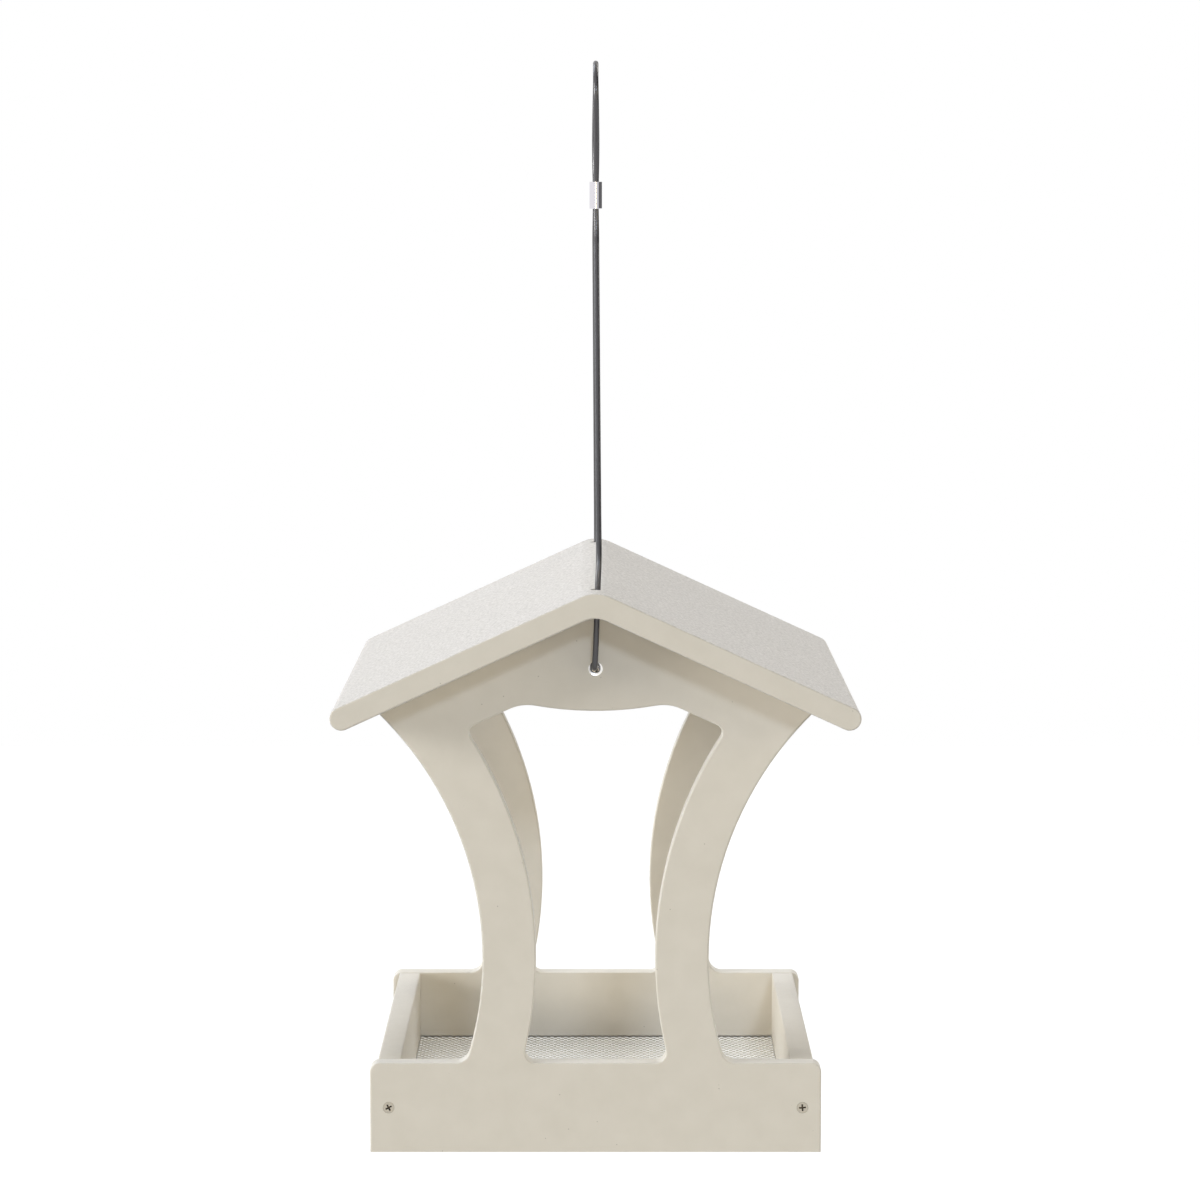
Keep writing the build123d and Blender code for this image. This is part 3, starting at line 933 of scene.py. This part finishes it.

# Panels and roof keep their CAD shapes
# The panels' routed and top edges take a paler painted sheen, a painted highlight
panel_board = polyethylene_board(
    "routed_polyethylene",
    grain=1.0 * MM,
    grain_height=0.02 * MM,
    roughness=(0.4, 0.52),
    painted_sheen=0.6,
    shade_and_sheen_colours=("#E2DDD2", "#EAE6DC"),
)
# The roof's slopes take a paler painted sheen, with painted shade in the grain's hollows and a painted
# highlight on its crests
roof_board = polyethylene_board(
    "pebbled_polyethylene",
    grain=1.6 * MM,
    grain_height=0.06 * MM,
    roughness=(0.6, 0.72),
    painted_sheen=0.6,
    shade_and_sheen_colours=("#ABA7A5", "#E4E1E0"),
)
boards = {"front_panel": panel_board, "back_panel": panel_board, "roof": roof_board}
for node, material in boards.items():
    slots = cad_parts[node].data.materials
    slots.clear()
    slots.append(material)


# Studio


def background_rays(tree):
    """One for rays that show what is behind the feeder: straight, in a reflection or through glass."""
    ray = add(tree, "ShaderNodeLightPath", {}, {}).outputs
    seen = add(
        tree,
        "ShaderNodeMath",
        {"operation": "ADD"},
        {0: ray["Is Camera Ray"], 1: ray["Is Glossy Ray"]},
    )
    return add(
        tree,
        "ShaderNodeMath",
        {"operation": "ADD", "use_clamp": True},
        {0: seen.outputs[0], 1: ray["Is Transmission Ray"]},
    ).outputs[0]


def make_floor():
    """Pale floor that glows to white where it shows, and keeps the feeder's shadow."""
    material, tree, shader = new_material(
        "pale_floor",
        Base_Color=linear("#BCBCBC"),
        Roughness=1.0,
        Specular_IOR_Level=0.0,
        Emission_Color=linear(PAPER_WHITE),
    )
    glow = add(
        tree, "ShaderNodeMath", {"operation": "MULTIPLY"}, {0: background_rays(tree), 1: FLOOR_GLOW}
    )
    tree.links.new(glow.outputs[0], shader.inputs["Emission Strength"])
    shape = bmesh.new()
    bmesh.ops.create_grid(shape, x_segments=1, y_segments=1, size=FLOOR_SIZE / 2)
    bmesh.ops.translate(shape, vec=(0, 0, FLOOR_HEIGHT), verts=shape.verts)
    mesh = bpy.data.meshes.new("floor")
    shape.to_mesh(mesh)
    shape.free()
    mesh.materials.append(material)
    floor = bpy.data.objects.new("floor", mesh)
    bpy.context.scene.collection.objects.link(floor)


def make_sky():
    """White behind the feeder, a soft sky to light it, and a dark flag on the right in reflections."""
    world = bpy.data.worlds.new("studio")
    bpy.context.scene.world = world
    world.use_nodes = True
    tree = world.node_tree
    tree.nodes.clear()
    direction = add(tree, "ShaderNodeTexCoord", {}, {}).outputs["Generated"]
    towards = add(
        tree, "ShaderNodeVectorMath", {"operation": "DOT_PRODUCT"}, {0: direction, 1: FLAG_TOWARDS}
    )
    flag = add(
        tree,
        "ShaderNodeMapRange",
        {"interpolation_type": "SMOOTHSTEP"},
        {
            "Value": towards.outputs["Value"],
            "From Min": FLAG_EDGE,
            "From Max": FLAG_FULL,
            "To Min": 1.0,
            "To Max": FLAG_SHADE,
        },
    )
    ray = add(tree, "ShaderNodeLightPath", {}, {}).outputs
    white = add(
        tree,
        "ShaderNodeMath",
        {"operation": "MAXIMUM"},
        {0: flag.outputs[0], 1: ray["Is Camera Ray"]},
    )
    axes = add(tree, "ShaderNodeSeparateXYZ", {}, {"Vector": direction})
    backdrop = add(
        tree,
        "ShaderNodeMapRange",
        {"interpolation_type": "SMOOTHSTEP"},
        {
            "Value": axes.outputs["Y"],
            "From Min": 0.0,
            "From Max": SKY_BACK_FROM,
            "To Min": SKY_FRONT,
            "To Max": SKY_BACK,
        },
    )
    paper = linear(PAPER_WHITE)
    sky = add(tree, "ShaderNodeBackground", {}, {"Color": paper, "Strength": backdrop.outputs[0]})
    shown = add(tree, "ShaderNodeBackground", {}, {"Color": paper, "Strength": white.outputs[0]})
    both = add(
        tree,
        "ShaderNodeMixShader",
        {},
        {0: background_rays(tree), 1: sky.outputs[0], 2: shown.outputs[0]},
    )
    add(tree, "ShaderNodeOutputWorld", {}, {"Surface": both.outputs[0]})


def make_lamp(name, comes_from, strength, softness, colour):
    """A broad distant lamp, given the direction its light comes from."""
    data = bpy.data.lights.new(name, "SUN")
    data.energy = strength
    data.color = linear(colour)[:3]
    data.angle = radians(softness)
    lamp = bpy.data.objects.new(name, data)
    bpy.context.scene.collection.objects.link(lamp)
    lamp.rotation_euler = Vector(comes_from).to_track_quat("Z", "Y").to_euler()


make_floor()
make_sky()
for name, lamp in LAMPS.items():
    make_lamp(name, *lamp)

camera_data = bpy.data.cameras.new("camera")
camera_data.sensor_width = SENSOR_WIDTH
camera_data.lens = SENSOR_WIDTH * FOCAL_PIXELS / PHOTO_WIDTH
camera = bpy.data.objects.new("camera", camera_data)
bpy.context.scene.collection.objects.link(camera)
camera.location = CAMERA_PLACE
camera.rotation_euler = (radians(90 - CAMERA_PITCH), 0, 0)
bpy.context.scene.camera = camera
bpy.context.scene.view_settings.view_transform = "Standard"
